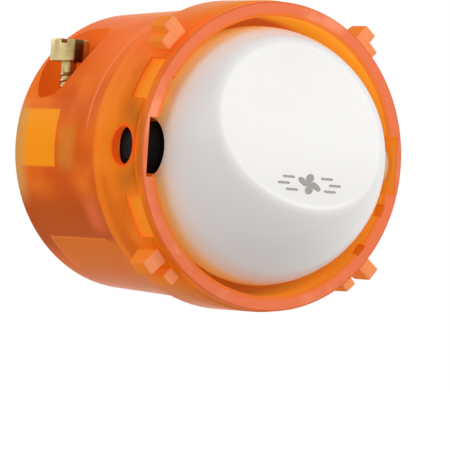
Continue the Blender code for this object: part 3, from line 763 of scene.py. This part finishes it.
pivot = {
    "depth": 2.6 * mm,
    "cheekRadius": 2.0 * mm,
    "cheekOuter": 11.2 * mm,
    "holeRadius": 1.5 * mm,
    "holeCentre": 2.8 * mm,
    "holeSides": 62,
    "slotDepth": 5.2 * mm,
    "gap": 0.3 * mm,
}


def cutPivots(shell):
    gap, over, centre = pivot["gap"], can["over"], pivot["holeCentre"]
    half = pivot["cheekRadius"] + gap
    inner, outer = can["boreRadius"] - over, can["collarRadius"] + over
    corner = (pivot["cheekOuter"] + gap, pivot["slotDepth"], half)
    for side in (-1, 1):
        cut(shell, addBlock("seat", *flipped((inner, -over, -half), corner, side, 1)))
        cut(shell, addRod("pivotHole", (side * inner, centre, 0), (side * outer, centre, 0),
                          pivot["holeRadius"], pivot["holeSides"]))


# wells over the terminal screws

pocket = {
    "floor": 3.55 * mm,
    "skin": 0.5 * mm,
    "radius": 2.3 * mm,
    "stretch": 1.5 * mm,
    "sides": 64,
    "steps": 17,
    "hole": 1.3 * mm,
    "holeLow": 1.5 * mm,
    "holeHigh": 0.5 * mm,
    "x": 8.2 * mm,
    "depth": 17.9 * mm,
    "rear": 20.6 * mm,
    "high": 11.5 * mm,
}
quarters = {"upper_left": (-1, 1), "upper_right": (1, 1), "lower_right": (1, -1)}


def addUpright(name, radius, rear, low, high, sideX, sideZ):
    # half disc in front, drawn back along the well, rounded or left square, and then drawn up
    x, front, depth = sideX * pocket["x"], pocket["depth"] - pocket["stretch"], pocket["depth"]
    bpy.ops.mesh.primitive_circle_add(vertices=pocket["sides"], radius=radius, fill_type="NGON",
                                      location=(x, front, sideZ * low))
    item = named(name)
    settle(item)
    startEditing(item, "EDGE")
    bpy.ops.mesh.select_all(action="SELECT")
    bpy.ops.mesh.bisect(plane_co=(x, front, 0), plane_no=(0, 1, 0), clear_outer=True)
    pickEdges(item, lambda edge: all(vert.co.y > front - tiny for vert in edge.verts))
    bpy.ops.mesh.extrude_edges_move(TRANSFORM_OT_translate={"value": (0, (rear or depth) - front, 0)})
    if not rear:
        drawRound(x, radius)
    bpy.ops.mesh.select_mode(type="FACE")
    bpy.ops.mesh.select_all(action="SELECT")
    bpy.ops.mesh.extrude_region_move(TRANSFORM_OT_translate={"value": (0, 0, sideZ * (high - low))})
    stopEditing()
    faceOut(item)
    return item


def drawRound(x, radius):
    # draws the picked edge back by steps of a quarter turn, each narrower than the last
    last = 0.0
    for step in range(1, pocket["steps"]):
        turn = math.radians(90) * step / pocket["steps"]
        rise = radius * (math.sin(turn) - math.sin(last))
        bpy.ops.mesh.extrude_edges_move(TRANSFORM_OT_translate={"value": (0, rise, 0)})
        bpy.ops.transform.resize(value=(math.cos(turn) / math.cos(last), 1, 1), center_override=(x, 0, 0))
        last = turn


def addPocket(shell, sideX, sideZ):
    radius, floor, skin, high = pocket["radius"], pocket["floor"], pocket["skin"], pocket["high"]
    over = can["over"]
    walls = addUpright("pocketWalls", radius + skin, can["length"] + over, floor - skin, high, sideX, sideZ)
    inside = can["rearRadius"] - can["wall"] / 2
    join(walls, addRod("limit", (0, 0, 0), (0, pocket["rear"], 0), inside, can["sides"]), "INTERSECT")
    weld(shell, walls)
    cut(shell, addUpright("pocketSpace", radius, None, floor, high + over, sideX, sideZ))
    x, depth = sideX * pocket["x"], pocket["depth"]
    low, top = sideZ * (floor - pocket["holeLow"]), sideZ * (floor + pocket["holeHigh"])
    cut(shell, addRod("pocketHole", (x, depth, low), (x, depth, top), pocket["hole"]))


def buildCan(finish):
    shell = turnOnAxis("can_shell", canRows(), can["sides"])
    roundEdges(shell, can["edge"])
    for height, width, angles in (lug["tall"], lug["short"]):
        for angle in angles:
            weld(shell, addProng(height, width, angle))
    sinkPanels(shell)
    cutNotches(shell)
    cutPivots(shell)
    for sideX, sideZ in quarters.values():
        addPocket(shell, sideX, sideZ)
    smoothBy(shell, can["smooth"])
    attach(shell, finish, "housing")


# domed white rocker cap

dome = {
    "radius": 10.1 * mm,
    "wall": 1.2 * mm,
    "skirt": 1.0 * mm,
    "reach": 7.3 * mm,
    "tilt": 10.4,
    "rock": -10.0,
    "soft": 0.5 * mm,
    "rows": 96,
    "sides": 160,
    "hollow": 0.7 * mm,
    "hollowRound": 35 * mm,
    "lastAngle": 114.0,
    "smooth": 30,
}


def rockerPlace():
    return Matrix.Translation((0, pivot["depth"], 0)) @ Matrix.Rotation(math.radians(dome["rock"]), 4, "X")


def placeOnRocker(item):
    item.matrix_world = rockerPlace() @ item.matrix_world
    settle(item)


def faceDepth(z):
    # the face is slightly hollow from top to bottom, as the thumb finds it
    return -(dome["reach"] - dome["hollow"] + z * z / (2 * dome["hollowRound"]))


def addBall():
    # the front of a ball, closed at its pole and open behind
    radius = dome["radius"]
    angles = [math.radians(dome["lastAngle"]) * (step + 1) / dome["rows"] for step in range(dome["rows"])]
    rows = [(-radius * math.cos(angle), radius * math.sin(angle)) for angle in angles]
    ball = turnOnAxis("dolly_cap", rows, dome["sides"], closed=False)
    startEditing(ball, "EDGE")
    pickEdges(ball, lambda edge: edge.is_boundary and edge.verts[0].co.y < 0)
    bpy.ops.mesh.extrude_edges_move(TRANSFORM_OT_translate={"value": (0, 0, 0)})
    bpy.ops.mesh.merge(type="CENTER")
    stopEditing()
    return ball


def pressFace(ball):
    # moves what stands before the face back onto it, and rounds the border between face and ball
    soft = dome["soft"]
    startEditing(ball)
    bm = bmesh.from_edit_mesh(ball.data)
    for vert in bm.verts:
        face = faceDepth(vert.co.z)
        share = max(0.0, 1 - abs(vert.co.y - face) / soft)
        vert.co.y = max(vert.co.y, face) + share * share * soft / 4
    bmesh.update_edit_mesh(ball.data)
    stopEditing()
    faceOut(ball)


def cutArches(cap):
    # arches over the two cheeks of the inner rocker, open towards the rear
    arch = pivot["cheekRadius"] + pivot["gap"]
    inner = dome["radius"] - dome["wall"] - can["over"]
    outer = dome["radius"] + can["over"]
    for side in (-1, 1):
        cut(cap, addRod("arch", (side * inner, 0, 0), (side * outer, 0, 0), arch))
        slot = flipped((inner, 0, -arch), (outer, dome["skirt"] + can["over"], arch), side, 1)
        cut(cap, addBlock("archSlot", *slot))


def buildDome(finish):
    cap = addBall()
    pressFace(cap)
    turnAbout(cap, -dome["tilt"], "X")
    startEditing(cap)
    bpy.ops.mesh.select_all(action="SELECT")
    bpy.ops.mesh.bisect(plane_co=(0, dome["skirt"], 0), plane_no=(0, 1, 0), clear_outer=True)
    stopEditing()
    addModifier(cap, "SOLIDIFY", thickness=dome["wall"], offset=-1)
    cutArches(cap)
    placeOnRocker(cap)
    smoothBy(cap, dome["smooth"])
    attach(cap, finish, "dolly")


# terminal screws, made upright on the Z axis

screw = {
    "headRadius": 1.53 * mm,
    "headLow": 6.6 * mm,
    "headHigh": 8.4 * mm,
    "headSides": 64,
    "edge": 0.18 * mm,
    "edgeSteps": 4,
    "edgeAngle": 40,
    "shank": 0.6 * mm,
    "tip": 2.45 * mm,
    "slotWidth": 0.5 * mm,
    "slotDepth": 0.35 * mm,
    "slotLengthShare": 1.5,
    "slotTurn": 40,
    "thread": 0.7 * mm,
    "threadRootShare": 0.94,
    "threadWidthShare": 0.42,
    "threadSteps": 32,
    "pitch": 0.48 * mm,
    "smooth": 35,
}


def addThread():
    # a three-sided ridge, its tip outwards, wound up around the shank
    crest, pitch = screw["thread"], screw["pitch"]
    root = screw["shank"] * screw["threadRootShare"]
    half = pitch * screw["threadWidthShare"]
    bpy.ops.mesh.primitive_circle_add(vertices=3, radius=half, location=(crest, 0, 0),
                                      rotation=(math.radians(90), 0, 0))
    ridge = named("threadRidge")
    settle(ridge)
    startEditing(ridge, "VERT")
    bm = bmesh.from_edit_mesh(ridge.data)
    corners = sorted(bm.verts, key=lambda vert: vert.co.x)
    for corner, place in zip(corners, ((root, 0, half), (root, 0, -half), (crest, 0, 0))):
        corner.co = place
    bmesh.update_edit_mesh(ridge.data)
    stopEditing()
    turns = int((screw["headLow"] - screw["tip"] - pitch * 2) / pitch)
    sweep(ridge, "Z", pitch, turns, screw["threadSteps"])
    ridge.location = (0, 0, screw["tip"] + pitch)
    settle(ridge)
    return ridge


def buildScrew(name, sideX, sideZ, finish):
    low, high, half = screw["headLow"], screw["headHigh"], screw["slotWidth"] / 2
    item = addRod(f"brass_{name}", (0, 0, low), (0, 0, high), screw["headRadius"], screw["headSides"])
    roundEdges(item, screw["edge"], screw["edgeSteps"], screw["edgeAngle"])
    wide = screw["headRadius"] * screw["slotLengthShare"]
    deep = screw["slotDepth"]
    slot = addBlock("slot", (-wide, -half, high - deep), (wide, half, high + deep))
    turnAbout(slot, screw["slotTurn"] * sideZ, "Z")
    cut(item, slot)
    weld(item, addRod("shank", (0, 0, screw["tip"]), (0, 0, low + screw["edge"]), screw["shank"]))
    ridge = addThread()
    pickOnly(item)
    ridge.select_set(True)
    bpy.ops.object.join()
    if sideZ < 0:
        turnAbout(item, 180, "X")
    item.location = (sideX * pocket["x"], pocket["depth"], 0)
    settle(item)
    smoothBy(item, screw["smooth"])
    attach(item, finish, f"screw_{name}")


# plunger's coil: the stem holds it in front and the plunger behind

spring = {
    "radius": 0.75 * mm,
    "wire": 0.14 * mm,
    "turns": 4,
    "front": 2.66 * mm,
    "rear": 4.74 * mm,
    "sides": 10,
    "steps": 24,
    "smooth": 50,
}


def buildSpring(finish):
    front, rear, turns = spring["front"], spring["rear"], spring["turns"]
    bpy.ops.mesh.primitive_circle_add(vertices=spring["sides"], radius=spring["wire"],
                                      location=(spring["radius"], front, 0))
    coil = named("spring_coil")
    settle(coil)
    sweep(coil, "Y", (rear - front) / turns, turns, spring["steps"])
    placeOnRocker(coil)
    smoothBy(coil, spring["smooth"])
    coil.data.materials.append(finish.material)
    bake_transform(coil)
    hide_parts("plunger_spring")


# printed mark on the rocker's face: a small fan with air to each side

mark = {
    "centre": (-0.2 * mm, -4.75 * mm),
    "blades": 4,
    "bladeSize": (0.30 * mm, 0.46 * mm),
    "bladeOut": 0.56 * mm,
    "bladeLean": 26,
    "bladeStart": 20,
    "hub": 0.2 * mm,
    "discSides": 40,
    "strokes": ((1.75 * mm, 0.55 * mm), (2.35 * mm, 0.0), (1.75 * mm, -0.55 * mm)),
    "strokeSize": (1.1 * mm, 0.2 * mm),
    "strokeRoundShare": 0.49,
    "strokeRoundSteps": 5,
    "sunk": 0.03 * mm,
    "proud": 0.02 * mm,
}


def inkDepths():
    # front and back of the ink where the face would be if it weren't hollow
    return -dome["reach"] - mark["proud"], -dome["reach"] + mark["sunk"]


def addDisc(name, width, height):
    # thin oval standing across the Y axis
    front, back = inkDepths()
    disc = addRod(name, (0, front, 0), (0, back, 0), 1 * mm, mark["discSides"])
    disc.scale = (width / mm, 1, height / mm)
    settle(disc)
    return disc


def addStroke(x, z):
    # thin bar with round ends
    length, thick = mark["strokeSize"]
    front, back = inkDepths()
    stroke = addBlock("stroke", (-length / 2, front, -thick / 2), (length / 2, back, thick / 2))
    startEditing(stroke, "EDGE")
    pickEdges(stroke, lambda edge: abs(edge.verts[0].co.y - edge.verts[1].co.y) > near)
    bpy.ops.mesh.bevel(offset=thick * mark["strokeRoundShare"], segments=mark["strokeRoundSteps"],
                       affect="EDGES")
    stopEditing()
    stroke.location = (x, 0, z)
    settle(stroke)
    return stroke


def buildMark(finish):
    sign = addDisc("fan_mark", mark["hub"], mark["hub"])
    for index in range(mark["blades"]):
        blade = addDisc("blade", *mark["bladeSize"])
        turnAbout(blade, mark["bladeLean"], "Y")
        blade.location = (0, 0, mark["bladeOut"])
        settle(blade)
        turnAbout(blade, 360 / mark["blades"] * index + mark["bladeStart"], "Y")
        weld(sign, blade)
    for side in (-1, 1):
        for x, z in mark["strokes"]:
            weld(sign, addStroke(side * x, z))
    x, z = mark["centre"]
    sign.location = (x, faceDepth(z) + dome["reach"], z)
    settle(sign)
    turnAbout(sign, math.degrees(z / dome["hollowRound"]), "X", (x, faceDepth(z), z))
    turnAbout(sign, -dome["tilt"], "X")
    placeOnRocker(sign)
    sign.data.materials.append(finish.material)
    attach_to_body(sign, bodyOf["dolly"])


# the CAD nodes that show get the finish of their slot

def dressNodes(finishes):
    slots = {part["node"]: part["material_slot"] for part in frame["record"]["subparts"]}
    for name, item in nodes.items():
        finish = finishes[slots[name]]
        if not item.material_slots:
            item.data.materials.append(finish.material)
        for place in item.material_slots:
            place.material = finish.material


def main():
    addCamera()
    addStudio()
    print("camera and studio are set")
    finishes = {
        "amber_plastic": amberPlastic(),
        "white_plastic": whitePlastic(),
        "black_plastic": blackPlastic(),
        "brass": turnedBrass("stripBrass", "brass", *brass["strips"]),
        "grey_ink": greyInk(),
        "screw_brass": turnedBrass("screwBrass", "screw_brass", *brass["screws"]),
        "silver": dullMetal("contactSilver", "silver", *metal["silver"]),
        "spring_steel": dullMetal("springSteel", "spring_steel", *metal["steel"]),
    }
    buildCan(finishes["amber_plastic"])
    print("can is built")
    buildDome(finishes["white_plastic"])
    buildMark(finishes["grey_ink"])
    print("dome and its mark are built")
    for name, (sideX, sideZ) in quarters.items():
        buildScrew(name, sideX, sideZ, finishes["screw_brass"])
    print("screws are built")
    buildSpring(finishes["spring_steel"])
    print("spring is built")
    dressNodes(finishes)
    print("the other pieces have their finishes")


main()
